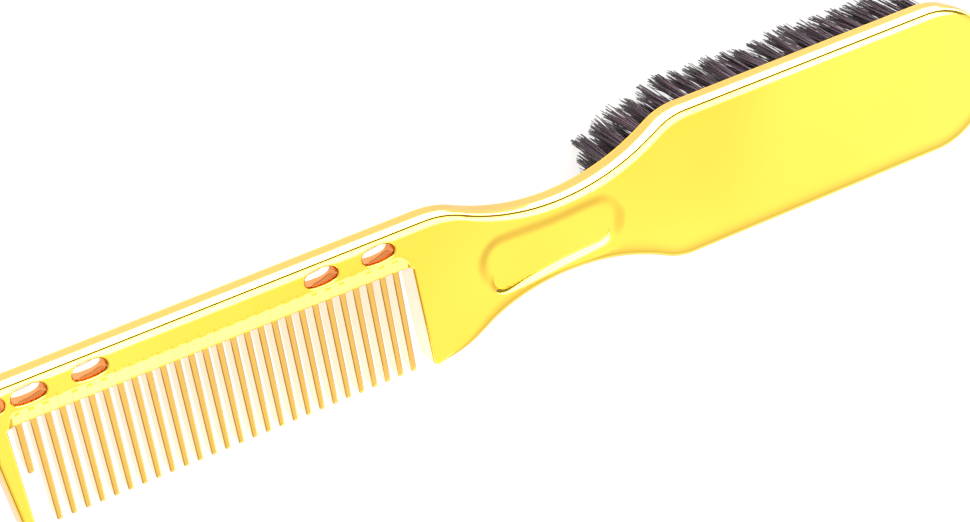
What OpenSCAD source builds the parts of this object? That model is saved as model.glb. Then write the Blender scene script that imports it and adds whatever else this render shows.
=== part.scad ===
// Two-in-one beard tool: a comb at one end, a waisted grip in the middle and
// a flat tufted brush head at the other end. The plated moulding carries a
// tufted plate, and each tuft is folded over a small flat wire anchor.
//
// +X runs from the comb to the brush head, +Y points to the comb's spine and
// +Z to the smooth back. The tool rests on the tips of its bristles, z = 0,
// and the origin is under the middle of its length and width.

/* [Overall] */
// Length from the comb's end to the tip of the brush head
total_l = 237.5; // [228:0.5:245]
// Width over the brush head
head_w = 34; // [32:0.5:35]
// Thickness of the moulding
body_t = 7.2; // [6.6:0.1:8]
// Free length of the bristles below the moulding
bristle_l = 17.5; // [14:0.5:20]
// Radius along the edge of the smooth back
back_edge_r = 1.5; // [1:0.1:1.8]
// Radius along the edge of the bristle side
front_edge_r = 1.3; // [0.8:0.1:1.6]

/* [Comb] */
// Distance from one tooth to the next
tooth_pitch = 3; // [2.9:0.05:3.05]
// Number of teeth between the guard tooth and the grip
tooth_count = 28; // [26:1:28]
// Width of a tooth at its root
tooth_w = 1.4; // [1.1:0.05:1.5]
// Width of a tooth at its tip
tooth_tip_w = 1.2; // [0.8:0.05:1.3]
// Thickness of a tooth at its root
tooth_t = 5.2; // [4.7:0.1:5.2]
// Thickness of a tooth at its tip
tooth_tip_t = 4.6; // [3:0.1:4.8]
// Height of the teeth's roots above the centre line
tooth_root_y = 6.4; // [5.5:0.1:7]
// Length of the first tooth, which is shorter than the rest
short_tooth_l = 11.2; // [9:0.1:13]
// Distance from the centre line to the spine
spine_y = 15.3; // [15:0.1:16]
// Width of the bevel above the teeth
bevel_w = 4; // [3:0.1:4.2]
// Depth of the bevel above the teeth
bevel_d = 1; // [0.7:0.1:1]
// Width of the guard tooth at its root
guard_w = 4.2; // [3.6:0.1:4.6]
// Width of the guard tooth at its tip
guard_tip_w = 2.3; // [1.8:0.1:2.8]

/* [Spine openings] */
// Length of an oval opening
oval_l = 7; // [6:0.1:7.4]
// Width of an oval opening
oval_w = 4.2; // [3.6:0.1:4.4]
// Width of the bevelled rim around an oval opening
oval_rim = 0.35; // [0.2:0.05:0.5]
// Distance between the two openings of a pair
oval_pitch = 12.5; // [11:0.1:13]
// Distance from the comb's end to the first oval opening
oval_x = 10.2; // [9.6:0.1:11]
// Distance from the comb's end to the fourth oval opening
oval_x_last = 84.8; // [83:0.1:86]
// Height of the openings above the centre line
oval_y = 12; // [11.8:0.1:12.2]
// Radius of the round hanging hole at the comb's end
hang_r = 1.9; // [1.6:0.1:2]
// Distance from the comb's end to the hanging hole
hang_x = 3.7; // [3.6:0.1:3.9]

/* [Grip] */
// Distance from the centre line to the waist on the spine's side
waist_upper = 8.25; // [7.75:0.25:9]
// Distance from the centre line to the waist on the teeth's side
waist_lower = 9.4; // [8.6:0.1:10]
// Distance from the comb's end to the narrowest place
waist_from_end = 126.4; // [125:0.2:128]
// Radius of the hollow sides of the waist
waist_r = 48; // [46:1:52]
// Radius where the spine turns into the waist
spine_shoulder_r = 20; // [16:1:24]
// Radius where the comb's lower corner turns into the waist
corner_shoulder_r = 25; // [22:1:27]
// Radius where the waist turns into the head
head_shoulder_r = 15; // [12:1:18]
// Length of the thumb recess
recess_l = 34.4; // [30:0.2:36]
// Width of the thumb recess
recess_w = 13.2; // [11:0.2:13.4]
// Depth of the thumb recess
recess_d = 1.2; // [0.8:0.1:1.5]

/* [Brush] */
// Wall of the moulding around the tufted plate
pocket_wall = 2.4; // [2:0.1:2.8]
// Depth of the pocket for the tufted plate
pocket_d = 4.2; // [4.1:0.1:4.5]
// Thickness of the tufted plate
plate_t = 4; // [3.8:0.1:4]
// Distance between tufts, both ways
tuft_pitch = 4.2; // [3.9:0.1:4.4]
// Number of crosswise ranks of tufts
rank_count = 22; // [18:1:23]
// Distance from the head's tip to the last rank
last_rank_from_tip = 5.5; // [5:0.1:6]
// Radius of a tuft where it enters the plate
tuft_r = 0.95; // [0.8:0.05:1]
// Radius of a tuft at its tip
tuft_tip_r = 1.7; // [1.4:0.1:1.8]
// Depth of a tuft hole
tuft_hole_d = 3; // [2.5:0.1:3.2]
// How much shorter the middle tufts are than the outer ones
tuft_dish = 0.3; // [0.1:0.1:0.6]

/* [Hidden] */
$fn = 48;
eps = 0.01;
fit_gap = 0.05;
plate_gap = 0.15;
arc_steps = 6;
edge_step = 30;

end_x = -total_l / 2;
under_z = bristle_l;
back_z = under_z + body_t;
mid_z = under_z + body_t / 2;
head_half = head_w / 2;
waist_x = end_x + waist_from_end;
head_end_x = total_l / 2 - head_half;
spine_corner_r = 5;
low_corner_r = 1.6;

// Window of the comb: from the guard tooth's inner side to the grip's wall
window_l = end_x + guard_w + 0.2;
window_r = end_x + 91.5;
window_corner_r = 3;
first_tooth_x = end_x + 6.95;
tooth_l = head_half + tooth_root_y;

recess_x = end_x + 123;
recess_y = -0.4;
recess_r = (pow(recess_w / 2, 2) + pow(recess_d, 2)) / (2 * recess_d);

peg_r = 1.5;
peg_l = 1.2;
peg_xs = [for (f = [0.12, 0.5, 0.88]) waist_x + f * (total_l / 2 - waist_x)];
pocket_margin = 6;
pocket_x = rank_x(1) - pocket_margin;
anchor = [1.5, 0.35, 1.2];

function pad(n) = n < 10 ? str("0", n) : str(n);
TUFT_RANKS = [for (i = [1:rank_count]) str("tuft_rank_", pad(i))];
ANCHOR_RANKS = [for (i = [1:rank_count]) str("anchor_rank_", pad(i))];

// Points of an arc, ends included
function arc(c, r, a0, a1, n = arc_steps) =
    [for (i = [0:n]) let (a = a0 + (a1 - a0) * i / n) [c.x + r * cos(a), c.y + r * sin(a)]];

// A shoulder rounds a straight edge at height y into the waist's hollow side,
// which comes within w of the centre line. The shoulder's centre lies before
// the waist for side = -1 and after it for side = 1.
function shoulder_dx(w, y, r) = sqrt(pow(waist_r + r, 2) - pow(w + waist_r - y + r, 2));
function shoulder_c(w, y, r, side) = [waist_x + side * shoulder_dx(w, y, r), y - r];
function shoulder_turn(w, y, r) = asin(shoulder_dx(w, y, r) / (waist_r + r));

// Half outlines on the +Y side, moved inwards by d, from the comb's end to the
// head's tip. Hollow arcs grow by d and full ones shrink by it.
function comb_edge(w, y, corner, shoulder, d) =
    let (turn = shoulder_turn(w, y, shoulder))
    concat(
        arc([end_x + corner, y - corner], corner - d, 180, 90),
        arc(shoulder_c(w, y, shoulder, -1), shoulder - d, 90, 90 - turn),
        arc([waist_x, w + waist_r], waist_r + d, 270 - turn, 268));
function head_edge(w, from, d) =
    let (turn = shoulder_turn(w, head_half, head_shoulder_r))
    concat(
        arc([waist_x, w + waist_r], waist_r + d, from, 270 + turn),
        arc(shoulder_c(w, head_half, head_shoulder_r, 1), head_shoulder_r - d, 90 + turn, 90),
        arc([head_end_x, 0], head_half - d, 88, 3, 2 * arc_steps));
function spine_side(d) = concat(
    comb_edge(waist_upper, spine_y, spine_corner_r, spine_shoulder_r, d),
    head_edge(waist_upper, 270, d));
function tooth_side(d) =
    let (edge = concat(
        comb_edge(waist_lower, head_half, low_corner_r, corner_shoulder_r, d),
        head_edge(waist_lower, 270, d)))
    [for (p = edge) [p.x, -p.y]];

// Half width at x, from the waist to the head's tip, on the spine's side, which
// is the narrower one
function half_width(x) =
    let (turn_x = waist_r * sin(shoulder_turn(waist_upper, head_half, head_shoulder_r)),
         c = shoulder_c(waist_upper, head_half, head_shoulder_r, 1))
    x < waist_x + turn_x ? waist_upper + waist_r - sqrt(pow(waist_r, 2) - pow(x - waist_x, 2))
    : x < c.x ? c.y + sqrt(pow(head_shoulder_r, 2) - pow(c.x - x, 2))
    : x < head_end_x ? head_half
    : sqrt(pow(head_half, 2) - pow(x - head_end_x, 2));

// Tufts: where each rank stands and how many tufts it holds
tuft_margin = pocket_wall + 1.9;
function rank_x(i) = total_l / 2 - last_rank_from_tip - (rank_count - i) * tuft_pitch;
function rank_n(i) = 1 + floor(2 * (half_width(rank_x(i)) - tuft_margin) / tuft_pitch);
function rank_ys(i) = [for (j = [0:rank_n(i) - 1]) (j - (rank_n(i) - 1) / 2) * tuft_pitch];
field_half_x = (rank_x(rank_count) - rank_x(1)) / 2;
field_mid_x = (rank_x(rank_count) + rank_x(1)) / 2;
function tip_z(x, ys, y) =
    let (across = abs(y) / (abs(ys[0]) + eps), along = abs(x - field_mid_x) / field_half_x)
    tuft_dish * (1 - pow(max(across, along), 2));

// Solid blank of the moulding, with both edges rounded all the way round
module blank() {
    rings = concat(
        [for (a = [90:-edge_step:0])
            [under_z + front_edge_r * (1 - sin(a)), front_edge_r * (1 - cos(a))]],
        [for (a = [0:edge_step:90])
            [back_z - back_edge_r * (1 - sin(a)), back_edge_r * (1 - cos(a))]]);
    n = len(spine_side(0));
    m = 2 * n;
    k = len(rings);
    points = [for (ring = rings)
        let (s = spine_side(ring[1]), t = tooth_side(ring[1]))
        each [for (i = [0:m - 1]) let (p = i < n ? s[i] : t[m - 1 - i]) [p.x, p.y, ring[0]]]];
    walls = [for (r = [0:k - 2], i = [0:m - 1])
        let (a = r * m + i, b = r * m + (i + 1) % m)
        each [[a, b, b + m], [a, b + m, a + m]]];
    low = [for (i = [0:n - 2]) [i, m - 1 - i, m - 2 - i, i + 1]];
    top = [for (i = [0:n - 2]) let (o = (k - 1) * m) [o + i + 1, o + m - 2 - i, o + m - 1 - i, o + i]];
    polyhedron(points, concat(walls, low, top), convexity = 6);
}

// Space of the comb's teeth, open towards -Y
module window() {
    c = window_corner_r;
    outline = concat(
        arc([window_l + c, tooth_root_y - c], c, 180, 90),
        arc([window_r - c, tooth_root_y - c], c, 90, 0),
        [[window_r + 0.6, -head_half - 2], [window_l + 0.4, -head_half - 2]]);
    translate([0, 0, under_z - 1])
        linear_extrude(body_t + 2)
            polygon(outline);
}

// Bevels that lead from both faces down to the teeth's roots
module bevels() {
    for (side = [0, 1])
        translate([0, 0, mid_z])
            mirror([0, 0, side])
                translate([window_l + 1, 0, 0])
                    rotate([90, 0, 90])
                        linear_extrude(window_r - window_l - 2)
                            polygon([
                                [tooth_root_y - 1, body_t / 2 - bevel_d],
                                [tooth_root_y, body_t / 2 - bevel_d],
                                [tooth_root_y + bevel_w, body_t / 2],
                                [tooth_root_y + bevel_w, body_t / 2 + 1],
                                [tooth_root_y - 1, body_t / 2 + 1]]);
}

// Slanted outer side of the guard tooth
module guard_taper() {
    tip_x = window_l + 0.4 - guard_tip_w;
    translate([0, 0, under_z - 1])
        linear_extrude(body_t + 2)
            polygon([[end_x - 2, 8], [end_x - 0.05, 8], [tip_x, -head_half - 1], [end_x - 2, -head_half - 1]]);
}

// Long round shape along X: its half width is r0 at the bottom and r1 at the top
module long_round(r0, r1, h) {
    half = (oval_l - oval_w) / 2;
    for (s = [-1, 1])
        translate([s * half, 0, 0])
            cylinder(r1 = r0, r2 = r1, h = h);
    translate([-half, 0, 0])
        rotate([90, 0, 90])
            linear_extrude(2 * half)
                polygon([[-r0, 0], [r0, 0], [r1, h], [-r1, h]]);
}

// Long round hole through the spine, with a rim that opens out at both faces
module oval_hole(x) {
    r = oval_w / 2;
    translate([x, oval_y, mid_z]) {
        translate([0, 0, -body_t])
            long_round(r, r, 2 * body_t);
        for (side = [0, 1])
            mirror([0, 0, side])
                translate([0, 0, body_t / 2 - oval_rim])
                    long_round(r, r + 2 * oval_rim, 2 * oval_rim);
    }
}

module hang_hole() {
    translate([end_x + hang_x, oval_y, under_z - 1])
        cylinder(r = hang_r, h = body_t + 2);
}

// Shallow trough with ball ends in the back of the grip
module thumb_recess() {
    half = (recess_l - recess_w) / 2;
    translate([recess_x, recess_y, back_z + recess_r - recess_d]) {
        translate([-half, 0, 0])
            rotate([0, 90, 0])
                cylinder(r = recess_r, h = 2 * half);
        for (s = [-1, 1])
            translate([s * half, 0, 0])
                sphere(r = recess_r);
    }
}

// Plan of the pocket and the tufted plate, moved inwards by d
module plate_plan(d) {
    from = 270 + asin((pocket_x - waist_x + d) / (waist_r + d));
    edge = head_edge(waist_upper, from, d);
    n = len(edge);
    polygon(concat(edge, [for (i = [n - 1:-1:0]) [edge[i].x, -edge[i].y]]));
}

module pegs(r, l) {
    for (x = peg_xs)
        translate([x, 0, under_z + plate_t - 1])
            cylinder(r = r, h = l + 1);
}

module body() {
    color([0.96, 0.78, 0.16])
        difference() {
            blank();
            window();
            bevels();
            guard_taper();
            for (x = [oval_x, oval_x + oval_pitch, oval_x_last - oval_pitch, oval_x_last])
                oval_hole(end_x + x);
            hang_hole();
            thumb_recess();
            translate([0, 0, under_z - 1])
                linear_extrude(pocket_d + 1)
                    plate_plan(pocket_wall);
            pegs(peg_r + fit_gap, peg_l + pocket_d - plate_t + fit_gap);
        }
}

// One tooth, its root on y = 0 and its tip at y = -l
module tooth(l) {
    tip_r = tooth_tip_w / 2;
    intersection() {
        translate([0, 0, -tooth_t])
            linear_extrude(2 * tooth_t)
                polygon(concat([[-tooth_w / 2, 0]],
                    arc([0, tip_r - l], tip_r, 180, 360), [[tooth_w / 2, 0]]));
        translate([-tooth_w, 0, 0])
            rotate([90, 0, 90])
                linear_extrude(2 * tooth_w)
                    polygon([[0, -tooth_t / 2], [0, tooth_t / 2], [-l, tooth_tip_t / 2], [-l, -tooth_tip_t / 2]]);
    }
}

module comb_teeth() {
    color([0.96, 0.72, 0.2])
        for (i = [0:tooth_count - 1])
            translate([first_tooth_x + i * tooth_pitch, tooth_root_y, mid_z])
                tooth(i == 0 ? short_tooth_l : tooth_l);
}

module bristle_plate() {
    color([0.12, 0.11, 0.12])
        difference() {
            union() {
                translate([0, 0, under_z])
                    linear_extrude(plate_t)
                        plate_plan(pocket_wall + plate_gap);
                pegs(peg_r, peg_l);
            }
            for (i = [1:rank_count])
                for (y = rank_ys(i))
                    translate([rank_x(i), y, under_z - 1])
                        cylinder(r = tuft_r + fit_gap, h = tuft_hole_d + 1);
        }
}

// One folded tuft: a straight root in its hole and a bundle that spreads to the tip
module tuft(low) {
    root_z = under_z + tuft_hole_d;
    rotate_extrude()
        polygon([[0, low], [tuft_tip_r, low], [tuft_r, under_z], [tuft_r, root_z], [0, root_z]]);
}

module wire_anchor() {
    translate([-anchor.x / 2, -anchor.y / 2, under_z + tuft_hole_d - 1.5])
        cube(anchor);
}

module tuft_rank(i) {
    ys = rank_ys(i);
    color([0.16, 0.13, 0.15])
        for (y = ys)
            translate([rank_x(i), y, 0])
                difference() {
                    tuft(tip_z(rank_x(i), ys, y));
                    wire_anchor();
                }
}

module anchor_rank(i) {
    color("silver")
        for (y = rank_ys(i))
            translate([rank_x(i), y, 0])
                wire_anchor();
}

body();
comb_teeth();
bristle_plate();
for (i = [1:rank_count]) {
    tuft_rank(i);
    anchor_rank(i);
}
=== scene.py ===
"""Beard comb and brush in gold plated plastic: the looks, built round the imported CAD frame.

Lengths are in millimetres, as in part.scad, until a mesh is made. The frame is +X from the
comb to the brush head, +Y towards the comb's spine, +Z up to the smooth back, and the
bristle tips stand on z = 0. The floor and the lights are in metres.
"""

import bpy
import math
import random
import numpy as np
from mathutils import Matrix, Vector
from mathutils.geometry import delaunay_2d_cdt


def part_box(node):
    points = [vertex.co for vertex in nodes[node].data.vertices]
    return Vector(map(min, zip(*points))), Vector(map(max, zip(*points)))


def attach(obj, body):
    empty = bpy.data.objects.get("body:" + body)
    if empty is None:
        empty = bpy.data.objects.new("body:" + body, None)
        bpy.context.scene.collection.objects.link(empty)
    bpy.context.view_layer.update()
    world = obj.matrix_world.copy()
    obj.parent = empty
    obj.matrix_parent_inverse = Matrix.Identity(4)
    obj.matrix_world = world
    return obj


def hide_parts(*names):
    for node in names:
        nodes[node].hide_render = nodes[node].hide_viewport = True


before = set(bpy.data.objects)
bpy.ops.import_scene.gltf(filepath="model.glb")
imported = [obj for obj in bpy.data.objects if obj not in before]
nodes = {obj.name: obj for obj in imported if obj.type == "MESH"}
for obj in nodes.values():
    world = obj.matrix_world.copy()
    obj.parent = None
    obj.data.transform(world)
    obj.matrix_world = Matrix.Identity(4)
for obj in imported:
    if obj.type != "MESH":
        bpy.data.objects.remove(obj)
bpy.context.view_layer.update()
MM = 0.001

# ---------------------------------------------------------------- sizes, from the CAD nodes
body_low, body_high = [[v / MM for v in corner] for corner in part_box("body")]
END_X = body_low[0]
TIP_X = body_high[0]
HALF_W = body_high[1]
UNDER_Z = body_low[2]
BACK_Z = body_high[2]
MID_Z = (UNDER_Z + BACK_Z) / 2
HALF_T = (BACK_Z - UNDER_Z) / 2

# Outline, as in part.scad
SPINE_Y = 15.3
WAIST_X = END_X + 126.4
WAIST_UPPER = 8.25
WAIST_LOWER = 9.4
WAIST_R = 48.0
SPINE_SHOULDER_R = 20.0
CORNER_SHOULDER_R = 25.0
HEAD_SHOULDER_R = 15.0
HEAD_END_X = TIP_X - HALF_W
SPINE_CORNER_R = 5.0

# Comb. The bevel starts softly, so it is a little wider than in part.scad at the same slope
ROOT_Y = 6.4
BEVEL_W = 5.0
BEVEL_D = 1.0
BEVEL_SOFT = 0.4
WINDOW_L = END_X + 4.4
WINDOW_R = END_X + 91.5
WINDOW_REACH = 2.4
GUARD_TIP_L = END_X + 2.5
TOOTH_PITCH = 3.0
TOOTH_COUNT = 28
FIRST_TOOTH_X = END_X + 6.95
SHORT_TIP_Y = -4.8
TIP_Y = 0.05 - HALF_W
TOOTH_HALF_W = (0.7, 0.6)
TOOTH_HALF_T = (2.6, 2.3)
TOOTH_WEDGE = 0.6

# Openings in the spine. Their mouths flare, so their bores are narrower than in part.scad
OVAL_Y = 12.0
OVAL_XS = [END_X + d for d in (10.2, 22.7, 72.1, 84.8)]
OVAL_HALF = (3.45, 1.6)
OVAL_FLARE = 0.65
HANG_HOLE = (END_X + 3.7, 12.1, 1.6, 1.6)
HANG_FLARE = 0.3

# Thumb recess in the back of the grip, a little larger at its soft rim than in part.scad
RECESS_X = END_X + 123.0
RECESS_Y = -0.4
RECESS_HALF = (18.4, 7.2)
RECESS_PINCH = 0.35
RECESS_D = 1.15
RECESS_GENTLE = 4.2
RECESS_STEEP = (0.8, 3.2)
RECESS_FOOT = 0.92

# Brush
POCKET_WALL = 2.4
POCKET_D = 4.2
POCKET_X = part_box("bristle_plate")[0][0] / MM
RANKS = sum(name.startswith("tuft_rank") for name in nodes)
TUFT_PITCH = 4.2

rng = random.Random(11)


# ---------------------------------------------------------------- small geometry helpers
def smooth(a, b, x):
    """0 below a, 1 above b, and an S-curve between them."""
    t = min(max((x - a) / (b - a), 0.0), 1.0)
    return t * t * (3 - 2 * t)


def arc(cx, cy, r, a0, a1, step=4.0):
    """Points of an arc from angle a0 to a1 in degrees, ends included."""
    n = max(2, round(abs(a1 - a0) / step))
    turns = [math.radians(a0 + (a1 - a0) * i / n) for i in range(n + 1)]
    return [(cx + r * math.cos(t), cy + r * math.sin(t)) for t in turns]


def line(p, q, step=2.0):
    """Points of a straight line from p to q, without its ends."""
    n = max(1, round(math.dist(p, q) / step))
    return [(p[0] + (q[0] - p[0]) * i / n, p[1] + (q[1] - p[1]) * i / n) for i in range(1, n)]


def shoulder(w, y, r):
    """How far from the waist a shoulder's centre lies, and the angle it turns through."""
    dx = math.sqrt((WAIST_R + r) ** 2 - (w + WAIST_R - y + r) ** 2)
    return dx, math.degrees(math.asin(dx / (WAIST_R + r)))


def loop_normals(points):
    """Outward unit normals of a closed anticlockwise loop of points."""
    ahead = np.roll(points, -1, axis=0) - points
    ahead /= np.linalg.norm(ahead, axis=1)[:, None]
    along = ahead + np.roll(ahead, 1, axis=0)
    along /= np.linalg.norm(along, axis=1)[:, None]
    return np.column_stack([along[:, 1], -along[:, 0]])


def grid_normals(grid):
    """Normals of a grid of closed rings, rings[k][i].

    They point to the right of the rings' heading when k goes down.
    """
    g = np.asarray(grid, float)
    along = np.roll(g, -1, axis=1) - np.roll(g, 1, axis=1)
    down = np.empty_like(g)
    down[1:-1] = g[2:] - g[:-2]
    down[0] = g[1] - g[0]
    down[-1] = g[-1] - g[-2]
    n = np.cross(down, along)
    return n / np.maximum(np.linalg.norm(n, axis=2), 1e-12)[:, :, None]


class Skin:
    """Collects faces with a position and a normal at each corner, then welds them into one mesh."""

    def __init__(self):
        self.index, self.points, self.normals, self.faces, self.tones = {}, [], [], [], []
        self.tone = 0

    def vertex(self, p, n):
        key = tuple(round(c * 2000) for c in p)
        if key not in self.index:
            self.index[key] = len(self.points)
            self.points.append(p)
            self.normals.append(np.zeros(3))
        i = self.index[key]
        self.normals[i] = self.normals[i] + n
        return i

    def face(self, corners):
        ring = []
        for p, n in corners:
            i = self.vertex(p, n)
            if i not in ring:
                ring.append(i)
        if len(ring) > 2:
            self.faces.append(ring)
            self.tones.append(self.tone)

    def rings(self, grid, normals, tones=None):
        """Quads between the closed rings of a grid, with a tone for each column if given."""
        rows, cols = len(grid), len(grid[0])
        for k in range(rows - 1):
            for i in range(cols):
                j = (i + 1) % cols
                self.tone = tones[i] if tones else self.tone
                quad = [(k, i), (k + 1, i), (k + 1, j), (k, j)]
                self.face([(grid[a][b], normals[a][b]) for a, b in quad])

    def flat(self, loops, z, up):
        """A flat face at height z inside the first loop and outside the others."""
        for tri in triangles(loops):
            corners = [((x, y, z), np.array([0.0, 0.0, up])) for x, y in tri]
            self.face(corners if up > 0 else corners[::-1])

    def build(self, name, materials):
        mesh = bpy.data.meshes.new(name)
        points = [(p[0] * MM, p[1] * MM, p[2] * MM) for p in self.points]
        mesh.from_pydata(points, [], self.faces)
        mesh.polygons.foreach_set("material_index", self.tones)
        mesh.validate()
        mesh.polygons.foreach_set("use_smooth", [True] * len(mesh.polygons))
        unit = [n / max(np.linalg.norm(n), 1e-9) for n in self.normals]
        mesh.normals_split_custom_set_from_vertices([tuple(n) for n in unit])
        for material in materials:
            mesh.materials.append(material)
        piece = bpy.data.objects.new(name, mesh)
        bpy.context.collection.objects.link(piece)
        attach(piece, "root")
        return piece


def inside(points, loop):
    """Which of the points lie inside a closed loop."""
    x, y = points[:, 0], points[:, 1]
    hit = np.zeros(len(points), bool)
    loop = np.asarray(loop, float)
    for (x0, y0), (x1, y1) in zip(loop, np.roll(loop, -1, axis=0)):
        if y0 != y1:
            crosses = (y0 > y) != (y1 > y)
            hit ^= crosses & (x < (x1 - x0) * (y - y0) / (y1 - y0) + x0)
    return hit


def triangles(loops, extra=()):
    """Triangles inside the first loop and outside the others, as points in the plane.

    The extra loops are kept as edges of the triangles.
    """
    points, edges = [], []
    for loop in list(loops) + list(extra):
        start = len(points)
        points += [Vector((p[0], p[1])) for p in loop]
        edges += [(start + i, start + (i + 1) % len(loop)) for i in range(len(loop))]
    out, _, faces, *_ = delaunay_2d_cdt(points, edges, [], 0, 1e-5)
    out = np.array([tuple(p) for p in out])
    faces = np.array([list(f) for f in faces])
    middle = out[faces].mean(axis=1)
    keep = inside(middle, loops[0])
    for hole in loops[1:]:
        keep &= ~inside(middle, hole)
    tris = out[faces[keep]]
    a, b = tris[:, 1] - tris[:, 0], tris[:, 2] - tris[:, 0]
    turn = a[:, 0] * b[:, 1] - a[:, 1] * b[:, 0]
    tris = tris[np.abs(turn) > 1e-9]
    turn = turn[np.abs(turn) > 1e-9]
    tris[turn < 0] = tris[turn < 0][:, ::-1]
    return tris


# ---------------------------------------------------------------- plan of the gold moulding
def plan():
    """The moulding's outline, anticlockwise, with the kind of edge at each point."""
    low_dx, low_turn = shoulder(WAIST_LOWER, HALF_W, HEAD_SHOULDER_R)
    head_dx, head_turn = shoulder(WAIST_UPPER, HALF_W, HEAD_SHOULDER_R)
    corner_dx, corner_turn = shoulder(WAIST_LOWER, HALF_W, CORNER_SHOULDER_R)
    spine_dx, spine_turn = shoulder(WAIST_UPPER, SPINE_Y, SPINE_SHOULDER_R)
    low_y = -WAIST_LOWER - WAIST_R
    high_y = WAIST_UPPER + WAIST_R
    wall_low = WINDOW_R + 0.6
    corner_r, inner_r, tip_r = 1.1, 0.5, 1.15
    guard_in = WINDOW_L + 0.4
    guard_mid = (GUARD_TIP_L + guard_in) / 2
    pts = []

    def add(kind, more):
        pts.extend((x, y, kind) for x, y in more)

    # Teeth's side, from the grip's corner to the head
    add("wall", arc(wall_low + corner_r, corner_r - HALF_W, corner_r, 181, 268, 15))
    corner_x = WAIST_X - corner_dx
    add("edge", arc(corner_x, CORNER_SHOULDER_R - HALF_W, CORNER_SHOULDER_R, 273, 270 + corner_turn, 2.5))
    add("edge", arc(WAIST_X, low_y, WAIST_R, 90 + corner_turn, 90 - low_turn, 2.5)[1:])
    low_x = WAIST_X + low_dx
    add("edge", arc(low_x, HEAD_SHOULDER_R - HALF_W, HEAD_SHOULDER_R, 270 - low_turn, 270, 2.5)[1:])
    add("edge", line((low_x, -HALF_W), (HEAD_END_X, -HALF_W)))
    add("edge", arc(HEAD_END_X, 0, HALF_W, -90, 90, 2.5))

    # Spine's side, from the head to the comb's end
    high_x = WAIST_X + head_dx
    add("edge", line((HEAD_END_X, HALF_W), (high_x, HALF_W)))
    add("edge", arc(high_x, HALF_W - HEAD_SHOULDER_R, HEAD_SHOULDER_R, 90, 90 + head_turn, 2.5)[:-1])
    add("edge", arc(WAIST_X, high_y, WAIST_R, 270 + head_turn, 270 - spine_turn, 2.5)[:-1])
    spine_x = WAIST_X - spine_dx
    add("edge", arc(spine_x, SPINE_Y - SPINE_SHOULDER_R, SPINE_SHOULDER_R, 90 - spine_turn, 90, 2.5))
    add("edge", line((spine_x, SPINE_Y), (END_X + SPINE_CORNER_R, SPINE_Y)))
    add("edge", arc(END_X + SPINE_CORNER_R, SPINE_Y - SPINE_CORNER_R, SPINE_CORNER_R, 90, 178, 5))

    # Guard tooth and the teeth's window
    add("guard", line((END_X, 9.0), (guard_mid - tip_r, tip_r - HALF_W), 1.0))
    add("guard", arc(guard_mid, tip_r - HALF_W, tip_r, 184, 356, 12))
    add("wall", line((guard_in, tip_r - HALF_W), (WINDOW_L, ROOT_Y - inner_r), 1.0))
    add("wall", arc(WINDOW_L + inner_r, ROOT_Y - inner_r, inner_r, 178, 95, 15))
    add("window", line((WINDOW_L + inner_r, ROOT_Y), (WINDOW_R - inner_r, ROOT_Y), 0.5))
    add("wall", arc(WINDOW_R - inner_r, ROOT_Y - inner_r, inner_r, 85, 2, 15))
    add("wall", line((WINDOW_R, ROOT_Y - inner_r), (wall_low, corner_r - HALF_W), 1.0))
    return np.array([p[:2] for p in pts]), [p[2] for p in pts]


# ---------------------------------------------------------------- edge of the moulding
SPINE_EDGE = (3.0, 1.65)
LOWER_EDGE = (5.2, 2.3)
UNDER_EDGE = (1.3, 1.3)
WALL_EDGE = (0.55, 0.55)
GUARD_EDGE = (0.9, 0.8)
EDGE_END = math.radians(84.5)
PARTING_Z = BACK_Z - 3.0
UPPER_RUN = 0.27
LOWER_RUN = 0.15
RINGS = 16


def mixed(a, b, share):
    """Values part of the way from a to b."""
    return tuple(p + (q - p) * share for p, q in zip(a, b))


def edge_size(x, y, kind, up):
    """Width and depth of the rounded edge at a point of the plan."""
    if kind == "wall":
        return WALL_EDGE
    spine, low = (SPINE_EDGE, LOWER_EDGE) if up > 0 else (UNDER_EDGE, UNDER_EDGE)
    if kind == "guard":
        return mixed(GUARD_EDGE, spine, smooth(0, 9, y))
    if y < 0 and x < WAIST_X:
        return mixed(GUARD_EDGE, low, smooth(WINDOW_R + 2, WINDOW_R + 22, x))
    return mixed(low, spine, smooth(-HALF_W, HALF_W, y))


def bevel_size(x):
    """Width of the bevel above the teeth, which narrows in a quarter round at both ends."""
    gap = min(max(min(x - WINDOW_L, WINDOW_R - x) - 0.5, 0), WINDOW_REACH)
    share = math.sqrt(WINDOW_REACH ** 2 - (WINDOW_REACH - gap) ** 2) / WINDOW_REACH
    return max(BEVEL_W * share, WALL_EDGE[0])


def bevel_drop(x, y):
    """Depth of the bevel below the face."""
    width = bevel_size(x)
    t = (ROOT_Y + width - y) / width
    if t <= 0 or not WINDOW_L <= x <= WINDOW_R:
        return 0.0
    steepest = BEVEL_D / BEVEL_W / (1 - BEVEL_SOFT / 2)
    if t < BEVEL_SOFT:
        return steepest * width * t * t / (2 * BEVEL_SOFT)
    return steepest * width * (t - BEVEL_SOFT / 2)


def spine_drop(y, up):
    """Depth of the spine's rounded edge below the face."""
    width, depth = SPINE_EDGE if up > 0 else UNDER_EDGE
    s = min(max((y - (SPINE_Y - width)) / width, 0.0), 0.97)
    return depth * (1 - math.sqrt(1 - s * s))


def face_drop(x, y, up):
    """Depth below the face near the comb, where the bevel and the spine's edge lower it."""
    return bevel_drop(x, y) + (spine_drop(y, up) if x < WINDOW_R + 5 else 0.0)


def face_point(x, y, up):
    """Place and normal on the face near the comb."""
    near = 0.02
    n = np.array([(face_drop(x + near, y, up) - face_drop(x - near, y, up)) / (2 * near),
                  (face_drop(x, y + near, up) - face_drop(x, y - near, up)) / (2 * near), up])
    z_face = BACK_Z if up > 0 else UNDER_Z
    return (x, y, z_face - up * face_drop(x, y, up)), n / np.linalg.norm(n)


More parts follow.
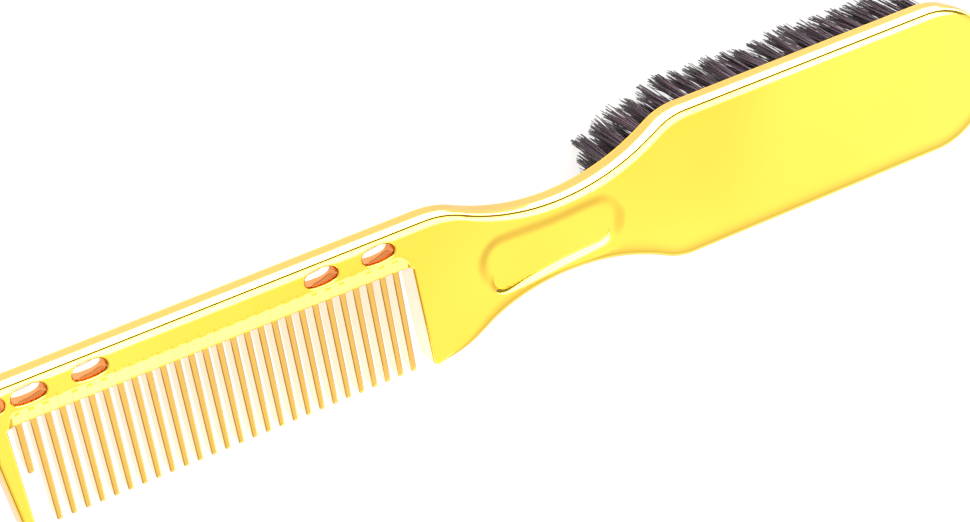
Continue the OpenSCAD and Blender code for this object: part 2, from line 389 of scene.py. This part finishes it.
def edge_rings(points, normals, kinds, up):
    """Rings of the edge, from the flat face out and round to the side wall."""
    z_face = BACK_Z if up > 0 else UNDER_Z
    sizes = [edge_size(x, y, k, up) for (x, y), k in zip(points, kinds)]
    rings = []
    for k in range(RINGS + 1):
        ring = []
        for (x, y), (nx, ny), kind, (width, depth) in zip(points, normals, kinds, sizes):
            if kind == "window":
                reach = bevel_size(x)
                share = min(k / (RINGS - 2), 1.0)
                down = bevel_drop(x, ROOT_Y + reach * (1 - share)) + 0.1 * max(k - RINGS + 2, 0)
                ring.append((x, y + reach * (1 - share), z_face - up * down))
                continue
            end = EDGE_END if kind == "edge" and up > 0 else math.pi / 2
            run = (UPPER_RUN if up > 0 else LOWER_RUN) if kind == "edge" else 0.0
            turn = end * k / RINGS
            inset = width * (math.sin(end) - math.sin(turn)) + run
            down = depth * (1 - math.cos(turn))
            ring.append((x - nx * inset, y - ny * inset, z_face - up * down))
        rings.append(ring)
    return rings


def wall_rings(points, normals, kinds, top, low):
    """The side wall between the two rounded edges, proud at its parting line."""
    rings = [top]
    for share in (0.25, 0.5, 0.75, 1.0, 1.2, 1.45, 1.7):
        ring = []
        for p, q, (x, y), (nx, ny), kind in zip(top, low, points, normals, kinds):
            run = UPPER_RUN * (1 - share) if share < 1 else LOWER_RUN * (share - 1)
            inset = run if kind == "edge" else 0.0
            if share < 1:
                z = p[2] + (PARTING_Z - p[2]) * share
            else:
                z = PARTING_Z + (q[2] - PARTING_Z) * (share - 1)
            ring.append((x - nx * inset, y - ny * inset, z))
        rings.append(ring)
    return rings + [low]


def long_loop(hole, grow, n=48):
    """An anticlockwise long round loop with flat-ish sides, grown by a margin."""
    cx, cy, half_x, half_y = hole
    out = []
    for i in range(n):
        t = 2 * math.pi * i / n
        c, s = math.cos(t), math.sin(t)
        power = 1.0 if half_x == half_y else 2 / 2.5
        x = half_x * math.copysign(abs(c) ** power, c)
        y = half_y * math.copysign(abs(s) ** power, s)
        g = math.hypot(c / half_x, s / half_y)
        out.append((cx + x + grow * c / half_x / g, cy + y + grow * s / half_y / g))
    return out


def hole_rings(hole, up, flare):
    """Rings of a hole's flared rim, from the face down to its straight wall."""
    depth = 1.5 * flare
    rings = []
    for k in range(RIM_STEPS + 1):
        turn = k / RIM_STEPS * math.pi / 2
        loop = long_loop(hole, flare * (1 - math.sin(turn)))
        outer = long_loop(hole, flare)
        ring = []
        for (x, y), (fx, fy) in zip(loop, outer):
            z = face_point(fx, fy, up)[0][2]
            ring.append((x, y, z - up * depth * (1 - math.cos(turn))))
        rings.append(ring)
    return rings


def recess_ring(share):
    """One ring of the waisted thumb recess, at a share of the way from its rim to its foot."""
    rx, ry = RECESS_HALF
    flat = rx - ry
    ring = []

    def add(x, y, out_x, out_y, gentle):
        steep = RECESS_STEEP[0] + (RECESS_STEEP[1] - RECESS_STEEP[0]) * smooth(-rx, rx, x)
        inset = share * (steep + (RECESS_GENTLE - steep) * gentle)
        sharp = 0.85 * share ** 1.5 + 0.15 * smooth(0.9, 1, share)
        sunk = gentle * (1 - math.cos(math.pi * share)) / 2 + (1 - gentle) * sharp
        z = BACK_Z - RECESS_D * sunk
        ring.append((RECESS_X + x - out_x * inset, RECESS_Y + y - out_y * inset, z))

    for side in (1, -1):
        first = -90 if side > 0 else 90
        for a in np.radians(np.linspace(first, first + 180, 25)):
            gentle = smooth(-0.98, -0.55, math.sin(a))
            add(side * flat + ry * math.cos(a), ry * math.sin(a), math.cos(a), math.sin(a), gentle)
        for x in np.linspace(flat, -flat, 24)[1:-1] * side:
            pinch = RECESS_PINCH * math.cos(math.pi * x / (2 * flat)) ** 2
            add(x, side * (ry - pinch), 0, side, 1.0 if side > 0 else 0.0)
    return ring


def pocket_loop(inset):
    """Outline of the pocket under the head, moved inwards."""
    d = POCKET_WALL + inset
    head_dx, head_turn = shoulder(WAIST_UPPER, HALF_W, HEAD_SHOULDER_R)
    start = math.degrees(math.asin((POCKET_X - 0.15 - WAIST_X + inset) / (WAIST_R + d)))
    low = arc(WAIST_X, -WAIST_UPPER - WAIST_R, WAIST_R + d, 90 - start, 90 - head_turn, 2.5)
    low += arc(WAIST_X + head_dx, HEAD_SHOULDER_R - HALF_W, HEAD_SHOULDER_R - d, 270 - head_turn, 270, 5)[1:]
    low += arc(HEAD_END_X, 0, HALF_W - d, -90, -3, 5)
    return low + [(x, -y) for x, y in low[::-1]]


# Tones of the plating, fixed to the surface. They stand for what the real tool reflects:
# copper high in the bores, pale low in them and between the teeth, amber on the side walls
PLAIN, PAINTED_COPPER_REFLECTION, PAINTED_PALE_REFLECTION, PAINTED_AMBER_REFLECTION = 0, 1, 2, 3
BORE_REFLECTION_SPLIT = 0.45

# Steps of the edge's rounding: the flat face runs on to SHEET, and the painted amber reflection starts at
# TURNED
SHEET = 10
TURNED = 13
RIM_STEPS = 6
RIM_TURN = 3


def face_sheet(skin, rings, ring_normals, rims, up):
    """The flat face with the first part of its edge's rounding, so that a rim may cut into both."""
    known = {}
    for k in range(SHEET + 1):
        for p, n in zip(rings[k], ring_normals[k]):
            known[round(p[0] * 500), round(p[1] * 500)] = (p, n)
    outer = [(p[0], p[1]) for p in rings[SHEET]]
    inner = [[(p[0], p[1]) for p in rim[0]] for rim in rims]
    opening = [p[:2] for p in recess_ring(0)] if up > 0 else pocket_loop(0)
    extra = [[(p[0], p[1]) for p in rings[k]] for k in range(SHEET)]
    for tri in triangles([outer] + inner + [opening], extra):
        corners = []
        for x, y in tri:
            found = known.get((round(x * 500), round(y * 500)))
            corners.append(found or face_point(x, y, up))
        skin.face(corners if up > 0 else corners[::-1])


def gold_moulding(materials):
    """The whole plated moulding without its teeth, with every edge rounded."""
    skin = Skin()
    points, kinds = plan()
    normals = loop_normals(points)
    holes = [((x, OVAL_Y, *OVAL_HALF), OVAL_FLARE) for x in OVAL_XS] + [(HANG_HOLE, HANG_FLARE)]
    edge, throat = {}, {}
    for up in (1, -1):
        rings = edge_rings(points, normals, kinds, up)
        ring_normals = grid_normals(rings) * up
        ring_normals[0] = [face_point(p[0], p[1], up)[1] for p in rings[0]]
        for i, kind in enumerate(kinds):
            if kind == "window":
                for k in range(RINGS - 2):
                    ring_normals[k][i] = face_point(rings[k][i][0], rings[k][i][1], up)[1]
        rims = [hole_rings(hole, up, flare) for hole, flare in holes]
        face_sheet(skin, rings, ring_normals, rims, up)
        # Past TURNED the spine's outer edge carries a painted amber reflection.
        amber_reflection_tones = [PAINTED_AMBER_REFLECTION if kind == "edge" and up > 0 else PLAIN for kind in kinds]
        skin.rings(np.array(rings[SHEET:TURNED + 1])[::up], ring_normals[SHEET:TURNED + 1][::up])
        skin.rings(np.array(rings[TURNED:])[::up], ring_normals[TURNED:][::up], amber_reflection_tones)
        edge[up] = rings[-1]
        for rim, (hole, _) in zip(rims, holes):
            rim_normals = -grid_normals(rim) * up
            rim_normals[0] = [face_point(p[0], p[1], up)[1] for p in rim[0]]
            # The rim's first turn from the face is plain plating; its deeper turn carries a painted copper
            # reflection.
            skin.tone = PLAIN
            skin.rings(np.array(rim[:RIM_TURN + 1])[::-up], rim_normals[:RIM_TURN + 1][::-up])
            skin.tone = PAINTED_COPPER_REFLECTION
            skin.rings(np.array(rim[RIM_TURN:])[::-up], rim_normals[RIM_TURN:][::-up])
            skin.tone = PLAIN
            throat[up, hole] = rim[-1], rim_normals[-1]
    wall = np.array(wall_rings(points, normals, kinds, edge[1], edge[-1]))
    facing_comb = [kind in ("wall", "window") for kind in kinds]
    # Side walls: painted pale reflection where they face the teeth, painted amber reflection elsewhere.
    skin.rings(wall, grid_normals(wall), [PAINTED_PALE_REFLECTION if inner else PAINTED_AMBER_REFLECTION for inner in facing_comb])
    for hole, _ in holes:
        (top, top_n), (low, low_n) = throat[1, hole], throat[-1, hole]
        split = np.array(low) + (np.array(top) - np.array(low)) * BORE_REFLECTION_SPLIT
        # Bores: painted pale reflection below the split, painted copper reflection above it.
        skin.tone = PAINTED_PALE_REFLECTION
        skin.rings([low, split], [low_n, low_n])
        skin.tone = PAINTED_COPPER_REFLECTION
        skin.rings([split, top], [top_n, top_n])
    skin.tone = PLAIN
    thumb_recess(skin)
    brush_pocket(skin)
    piece = skin.build("gold_moulding", materials)
    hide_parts("body")
    return piece


def thumb_recess(skin):
    """A shallow dish: its wall falls gently from the spine's side and steeply on the other."""
    shares = [RECESS_FOOT * k / 16 for k in range(17)] + [0.94, 0.96, 0.98, 1.0]
    rings = [recess_ring(share) for share in shares]
    normals = -grid_normals(rings)
    normals[0] = normals[-1] = (0, 0, 1)
    skin.rings(np.array(rings)[::-1], normals[::-1])
    skin.flat([[(p[0], p[1]) for p in rings[-1]]], rings[-1][0][2], 1)


def brush_pocket(skin):
    """Pocket under the head, with a small round at its mouth."""
    mouth_r = 0.3
    rings = []
    for k in range(5):
        a = math.radians(90 * k / 4)
        z = UNDER_Z + mouth_r * (1 - math.cos(a))
        loop = pocket_loop(mouth_r * (math.sin(a) - 1) + mouth_r)
        rings.append([(x, y, z) for x, y in loop])
    rings.append([(x, y, UNDER_Z + POCKET_D) for x, y in pocket_loop(mouth_r)])
    normals = grid_normals(rings)
    normals[0] = (0, 0, -1)
    skin.rings(rings, normals)
    skin.flat([[(p[0], p[1]) for p in rings[-1]]], UNDER_Z + POCKET_D, -1)


# ---------------------------------------------------------------- teeth
def bar_section(x, y, half_w, half_t, corner):
    """A rounded wedge across a tooth, wider at the back of the comb than underneath."""
    ring = []
    for sx, sz, first in ((1, 1, 0), (-1, 1, 90), (-1, -1, 180), (1, -1, 270)):
        across = half_w if sz > 0 else half_w * TOOTH_WEDGE
        for k in range(5):
            a = math.radians(first + 22.5 * k)
            ring.append((x + sx * (across - corner) + corner * math.cos(a), y,
                         MID_Z + sz * (half_t - corner) + corner * math.sin(a)))
    return ring


SIDE_REFLECTION, FRONT_REFLECTION, LAND = 0, 1, 2
LAND_STEPS = 8


def comb_teeth(materials):
    """Bars that rise out of the bevel as low lands and taper to blunt tips."""
    skin = Skin()
    corner = 0.3
    land = 0.07
    land_corner = 0.12
    rounding = 0.5
    for t in range(TOOTH_COUNT):
        cx = FIRST_TOOTH_X + t * TOOTH_PITCH
        tip_y = SHORT_TIP_Y if t == 0 else TIP_Y
        stations = []
        by_hole = min(abs(cx - x) for x in OVAL_XS) < OVAL_HALF[0] + OVAL_FLARE + TOOTH_HALF_W[0]
        top_y = OVAL_Y - OVAL_HALF[1] - OVAL_FLARE - 0.1 if by_hole else ROOT_Y + BEVEL_W * 0.97
        for k in range(LAND_STEPS + 1):
            y = top_y + (ROOT_Y - top_y) * k / LAND_STEPS
            proud = 1.6 * land * smooth(0, 2, k) - 0.6 * land
            stations.append((y, TOOTH_HALF_W[0], HALF_T - bevel_drop(cx, y) + proud, land_corner))
        for k in range(1, 11):
            y = ROOT_Y + (tip_y + rounding - ROOT_Y) * k / 10
            down = (ROOT_Y - y) / (ROOT_Y - TIP_Y)
            half_w = TOOTH_HALF_W[0] + (TOOTH_HALF_W[1] - TOOTH_HALF_W[0]) * down
            half_t = TOOTH_HALF_T[0] + land + (TOOTH_HALF_T[1] - TOOTH_HALF_T[0] - land) * down
            stations.append((y, half_w, half_t, corner))
        _, end_w, end_t, _ = stations[-1]
        for k in range(1, 6):
            a = math.radians(90 * k / 5)
            less = rounding * (1 - math.cos(a))
            stations.append((tip_y + rounding * (1 - math.sin(a)), end_w - 0.8 * less, end_t - less,
                             min(corner, (end_w - 0.8 * less) * 0.8)))
        rings = [bar_section(cx, y, half_w, half_t, c) for y, half_w, half_t, c in stations]
        normals = -grid_normals(rings)
        normals[-1] = (0, -1, 0)
        # Teeth: painted pale reflection on the sides, painted orange reflection on the front and back, plain
        # gold on the lands.
        tones = [SIDE_REFLECTION if i in (9, 19) else FRONT_REFLECTION for i in range(20)]
        grid = np.array(rings)
        skin.rings(grid[LAND_STEPS:][::-1], normals[LAND_STEPS:][::-1], tones)
        skin.rings(grid[:LAND_STEPS + 1][::-1], normals[:LAND_STEPS + 1][::-1], [LAND] * 20)
        for ring, n in ((rings[0], (0, 1, 0)), (rings[-1], (0, -1, 0))):
            middle = tuple(np.mean(ring, axis=0))
            for i in range(len(ring)):
                tri = [(q, np.array(n)) for q in (middle, ring[i], ring[(i + 1) % len(ring)])]
                skin.face(tri[::-1] if n[1] > 0 else tri)
    piece = skin.build("gold_teeth", materials)
    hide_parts("comb_teeth")
    return piece


# ---------------------------------------------------------------- bristles
def tuft_rank(i, material):
    """One crosswise rank of tufts, each a bundle of separate filaments."""
    node = f"tuft_rank_{i:02d}"
    low, high = [[v / MM for v in corner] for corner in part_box(node)]
    x = (low[0] + high[0]) / 2
    tip_r = (high[0] - low[0]) / 2
    count = round((high[1] - low[1] - 2 * tip_r) / TUFT_PITCH) + 1
    points, faces = [], []
    per_tuft = 46
    for j in range(count):
        y = (j - (count - 1) / 2) * TUFT_PITCH
        lean = (rng.gauss(0.9 if i == 1 else 0.15, 0.3), rng.gauss(0, 0.3))
        for _ in range(per_tuft):
            filament(points, faces, x, y, lean, tip_r)
    mesh = bpy.data.meshes.new(f"bristles_{i:02d}")
    mesh.from_pydata([(a * MM, b * MM, c * MM) for a, b, c in points], [], faces)
    mesh.polygons.foreach_set("use_smooth", [True] * len(mesh.polygons))
    mesh.materials.append(material)
    piece = bpy.data.objects.new(f"bristles_{i:02d}", mesh)
    bpy.context.collection.objects.link(piece)
    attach(piece, "root")
    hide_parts(node)
    return piece


def filament(points, faces, cx, cy, lean, reach):
    """One bristle: a thin three-sided tube that spreads and wanders a little from its hole to its tip."""
    sides, steps = 3, 4
    turn, r = rng.uniform(0, 2 * math.pi), 0.8 * math.sqrt(rng.random())
    start = (cx + r * math.cos(turn), cy + r * math.sin(turn))
    spread = reach * 1.25
    end = (cx + lean[0] + spread * r * math.cos(turn) + rng.gauss(0, 0.3),
           cy + lean[1] + spread * r * math.sin(turn) + rng.gauss(0, 0.3))
    bow = (rng.gauss(0, 0.15), rng.gauss(0, 0.15))
    tip_z = min(abs(rng.gauss(0, 0.7)), 2.5)
    if rng.random() < 0.07:
        tip_z += rng.uniform(0.8, 3.0)
    top_z = UNDER_Z + 0.5
    half = rng.uniform(0.11, 0.16)
    base = len(points)
    twist = rng.uniform(0, 2 * math.pi)
    for k in range(steps + 1):
        t = k / steps
        x = start[0] + (end[0] - start[0]) * t + bow[0] * math.sin(math.pi * t)
        y = start[1] + (end[1] - start[1]) * t + bow[1] * math.sin(math.pi * t)
        z = top_z + (tip_z - top_z) * t
        radius = half * (1 if k < steps else 0.75)
        for s in range(sides):
            a = twist + 2 * math.pi * s / sides
            points.append((x + radius * math.cos(a), y + radius * math.sin(a), z))
    for k in range(steps):
        for s in range(sides):
            a, b = base + k * sides + s, base + k * sides + (s + 1) % sides
            faces.append((a, a + sides, b + sides, b))
    faces.append(tuple(base + s for s in range(sides)))
    faces.append(tuple(base + steps * sides + s for s in range(sides))[::-1])


# ---------------------------------------------------------------- materials
class Shader:
    """A node material with short helpers."""

    def __init__(self, name):
        self.material = bpy.data.materials.new(name)
        self.material.use_nodes = True
        self.nodes = self.material.node_tree.nodes
        self.links = self.material.node_tree.links
        self.surface = self.nodes["Principled BSDF"]

    def node(self, kind, **values):
        made = self.nodes.new(kind)
        for key, value in values.items():
            if key in made.inputs:
                made.inputs[key].default_value = value
            else:
                setattr(made, key, value)
        return made

    def noise(self, scale, detail=2.0, roughness=0.5):
        place = self.node("ShaderNodeTexCoord")
        made = self.node("ShaderNodeTexNoise", Scale=scale, Detail=detail, Roughness=roughness)
        self.links.new(place.outputs["Object"], made.inputs["Vector"])
        return made

    def ramp(self, source, stops):
        made = self.node("ShaderNodeValToRGB")
        for element, (position, colour) in zip(made.color_ramp.elements, stops):
            element.position = position
            element.color = colour
        self.links.new(source, made.inputs["Fac"])
        return made.outputs["Color"]

    def spread(self, source, low, high):
        made = self.node("ShaderNodeMapRange")
        made.inputs["To Min"].default_value = low
        made.inputs["To Max"].default_value = high
        self.links.new(source, made.inputs["Value"])
        return made.outputs["Result"]

    def bump(self, source, strength, distance):
        made = self.node("ShaderNodeBump", Strength=strength, Distance=distance)
        self.links.new(source, made.inputs["Height"])
        self.links.new(made.outputs["Normal"], self.surface.inputs["Normal"])
        return made


def gold_plating(name, light, dark, coat):
    """Polished plating under yellow lacquer, faintly wavy, with fine handling marks."""
    shader = Shader(name)
    surface = shader.surface
    surface.inputs["Metallic"].default_value = 1.0
    surface.inputs["Coat Weight"].default_value = coat
    surface.inputs["Coat Roughness"].default_value = 0.04
    surface.inputs["Specular Tint"].default_value = (1.0, 0.78, 0.5, 1)
    tone = shader.ramp(shader.noise(14.0).outputs["Fac"], [(0.35, dark), (0.65, light)])
    shader.links.new(tone, surface.inputs["Base Color"])
    marks = shader.noise(260.0, 6.0, 0.65)
    rough = shader.spread(marks.outputs["Fac"], 0.04, 0.12)
    shader.links.new(rough, surface.inputs["Roughness"])
    shader.bump(shader.noise(38.0, 1.0).outputs["Fac"], 0.05, 0.002)
    return shader.material


def bristle_black():
    """Black filaments with a soft plum sheen and a slight difference from one to the next."""
    shader = Shader("bristle_black")
    place = shader.node("ShaderNodeNewGeometry")
    tone = shader.ramp(place.outputs["Random Per Island"],
                       [(0.0, (0.008, 0.003, 0.006, 1)), (1.0, (0.06, 0.03, 0.045, 1))])
    shader.links.new(tone, shader.surface.inputs["Base Color"])
    rough = shader.spread(shader.noise(900.0).outputs["Fac"], 0.3, 0.5)
    shader.links.new(rough, shader.surface.inputs["Roughness"])
    return shader.material


def plate_black():
    """Satin black moulded plastic with a fine spark texture."""
    shader = Shader("plate_black")
    grain = shader.noise(1800.0, 3.0)
    tone = shader.ramp(shader.noise(60.0).outputs["Fac"],
                       [(0.3, (0.014, 0.013, 0.014, 1)), (0.7, (0.022, 0.02, 0.021, 1))])
    shader.links.new(tone, shader.surface.inputs["Base Color"])
    shader.links.new(shader.spread(grain.outputs["Fac"], 0.38, 0.55), shader.surface.inputs["Roughness"])
    shader.bump(grain.outputs["Fac"], 0.15, 0.0002)
    return shader.material


def anchor_steel():
    """Flattened bright wire."""
    shader = Shader("anchor_steel")
    shader.surface.inputs["Metallic"].default_value = 1.0
    draw = shader.noise(700.0, 4.0)
    tone = shader.ramp(draw.outputs["Fac"], [(0.3, (0.5, 0.5, 0.52, 1)), (0.7, (0.65, 0.65, 0.66, 1))])
    shader.links.new(tone, shader.surface.inputs["Base Color"])
    shader.links.new(shader.spread(draw.outputs["Fac"], 0.22, 0.38), shader.surface.inputs["Roughness"])
    return shader.material


# ---------------------------------------------------------------- studio
def camera():
    """The camera stands over the comb's spine, rolled so that the spine is at the top."""
    data = bpy.data.cameras.new("camera")
    data.sensor_width = 36.0
    data.lens = 100.2
    aim = Vector((END_X + 107.13, 1.65, BACK_Z)) * MM
    at = aim + Vector((-196.68, 255.93, 439.63)) * MM
    roll = Matrix.Rotation(math.radians(126.08), 3, "Z")
    turn = (aim - at).to_track_quat("-Z", "Y").to_matrix() @ roll
    thing = bpy.data.objects.new("camera", data)
    thing.matrix_world = Matrix.Translation(at) @ turn.to_4x4()
    bpy.context.collection.objects.link(thing)
    bpy.context.scene.camera = thing


def floor():
    """A wide pale satin floor, which gives off light of its own so that it stays white."""
    shader = Shader("floor")
    shader.surface.inputs["Base Color"].default_value = (0.14, 0.14, 0.14, 1)
    shader.surface.inputs["Roughness"].default_value = 0.3
    shader.surface.inputs["Emission Color"].default_value = (1, 0.985, 0.97, 1)
    shader.surface.inputs["Emission Strength"].default_value = 0.85
    half = 1.6
    mesh = bpy.data.meshes.new("floor")
    corners = [(-half, -half, 0), (half, -half, 0), (half, half, 0), (-half, half, 0)]
    mesh.from_pydata(corners, [], [(0, 1, 2, 3)])
    mesh.materials.append(shader.material)
    thing = bpy.data.objects.new("floor", mesh)
    bpy.context.collection.objects.link(thing)


class Sky:
    """The world's node tree with short helpers."""

    def __init__(self, name):
        world = bpy.data.worlds.new(name)
        bpy.context.scene.world = world
        world.use_nodes = True
        self.tree = world.node_tree
        self.tree.nodes.clear()

    def ranged(self, source, a, b, low, high):
        """Source from a to b becomes low to high, in an S-curve."""
        made = self.tree.nodes.new("ShaderNodeMapRange")
        made.interpolation_type = "SMOOTHSTEP"
        for key, value in (("From Min", a), ("From Max", b), ("To Min", low), ("To Max", high)):
            made.inputs[key].default_value = value
        self.tree.links.new(source, made.inputs["Value"])
        return made.outputs["Result"]

    def maths(self, kind, a, b):
        made = self.tree.nodes.new("ShaderNodeMath")
        made.operation = kind
        for socket, value in zip(made.inputs, (a, b)):
            if isinstance(value, (int, float)):
                socket.default_value = value
            else:
                self.tree.links.new(value, socket)
        return made.outputs[0]


BOX_LIGHT = 8.0
BAND_SHADE = 0.68
BACKDROP = 1.2


def studio():
    """A calm sky with a bright box over the spine's side and a dark band under the box.

    Surfaces are lit by that sky and reflect it. The camera sees an even white in its place.
    """
    sky = Sky("studio")
    place = sky.tree.nodes.new("ShaderNodeTexCoord")
    axes = sky.tree.nodes.new("ShaderNodeSeparateXYZ")
    sky.tree.links.new(place.outputs["Generated"], axes.inputs[0])
    x, y, z = axes.outputs
    calm = sky.ranged(z, 0.1, 0.8, 0.85, 1.4)
    over_spine = sky.ranged(y, 0.13, 0.2, 0.0, 1.0)
    from_left = sky.ranged(x, -0.45, -0.2, 0.0, 1.0)
    to_right = sky.ranged(x, 0.7, 0.9, 1.0, 0.0)
    box = sky.maths("MULTIPLY", over_spine, sky.maths("MULTIPLY", from_left, to_right))
    above = sky.ranged(z, 0.46, 0.54, 0.0, 1.0)
    box = sky.maths("MULTIPLY", box, above)
    calm = sky.maths("MULTIPLY", calm, sky.ranged(x, -0.35, 0.1, 0.74, 1.0))
    light = sky.maths("ADD", calm, sky.maths("MULTIPLY", box, BOX_LIGHT))
    dark_side = sky.maths("MAXIMUM", over_spine, sky.ranged(x, -0.75, -0.6, 0.6, 0.0))
    under_box = sky.maths("MULTIPLY", dark_side, sky.ranged(z, 0.44, 0.52, 1.0, 0.0))
    kept = sky.maths("SUBTRACT", 1.0, sky.maths("MULTIPLY", under_box, BAND_SHADE))
    light = sky.maths("MULTIPLY", light, kept)
    rays = sky.tree.nodes.new("ShaderNodeLightPath")
    seen = sky.maths("MULTIPLY", rays.outputs["Is Camera Ray"], BACKDROP)
    unseen = sky.maths("MULTIPLY", sky.maths("SUBTRACT", 1.0, rays.outputs["Is Camera Ray"]), light)
    glow = sky.tree.nodes.new("ShaderNodeBackground")
    glow.inputs["Color"].default_value = (1, 1, 1, 1)
    sky.tree.links.new(sky.maths("ADD", seen, unseen), glow.inputs["Strength"])
    out = sky.tree.nodes.new("ShaderNodeOutputWorld")
    sky.tree.links.new(glow.outputs[0], out.inputs["Surface"])


def softbox(name, at, aim, size, power):
    """A rectangular lamp in metres and watts, turned to face a point."""
    data = bpy.data.lights.new(name, "AREA")
    data.shape = "RECTANGLE"
    data.size, data.size_y = size
    data.energy = power
    thing = bpy.data.objects.new(name, data)
    turn = (Vector(aim) - Vector(at)).to_track_quat("-Z", "Y").to_matrix().to_4x4()
    thing.matrix_world = Matrix.Translation(at) @ turn
    bpy.context.collection.objects.link(thing)


# ---------------------------------------------------------------- make everything
camera()
gold = gold_plating("gold_plating", (1.0, 0.74, 0.095, 1), (1.0, 0.6, 0.055, 1), 0.3)
# Painted reflections in the plating's colour: copper in the bores, orange on the teeth, pale between the
# teeth, amber on the side walls.
bore_copper_reflection_gold = gold_plating("gold_painted_copper_reflection", (0.74, 0.3, 0.09, 1), (0.64, 0.24, 0.07, 1), 0.4)
tooth_front_reflection_gold = gold_plating("gold_painted_front_reflection", (0.74, 0.45, 0.1, 1), (0.68, 0.4, 0.08, 1), 0.4)
pale_reflection_gold = gold_plating("gold_painted_pale_reflection", (1.0, 0.93, 0.88, 1), (1.0, 0.87, 0.8, 1), 0.6)
amber_reflection_gold = gold_plating("gold_painted_amber_reflection", (0.83, 0.5, 0.13, 1), (0.78, 0.44, 0.1, 1), 0.4)
gold_moulding([gold, bore_copper_reflection_gold, pale_reflection_gold, amber_reflection_gold])
comb_teeth([pale_reflection_gold, tooth_front_reflection_gold, gold])
bristle = bristle_black()
for rank in range(1, RANKS + 1):
    tuft_rank(rank, bristle)
plate = plate_black()
steel = anchor_steel()
for name, thing in nodes.items():
    if name == "bristle_plate" or name.startswith("anchor_rank"):
        thing.data.materials.clear()
        thing.data.materials.append(plate if name == "bristle_plate" else steel)
floor()
studio()
softbox("low_light", (0.0, 0.125, 0.001), (0.0, 0.125, 1.0), (0.9, 0.19), 5.0)
softbox("teeth_card", (-0.049, -0.06, 0.065), (-0.055, 0.008, 0.022), (0.1, 0.018), 0.022)
bpy.context.scene.view_settings.view_transform = "Standard"
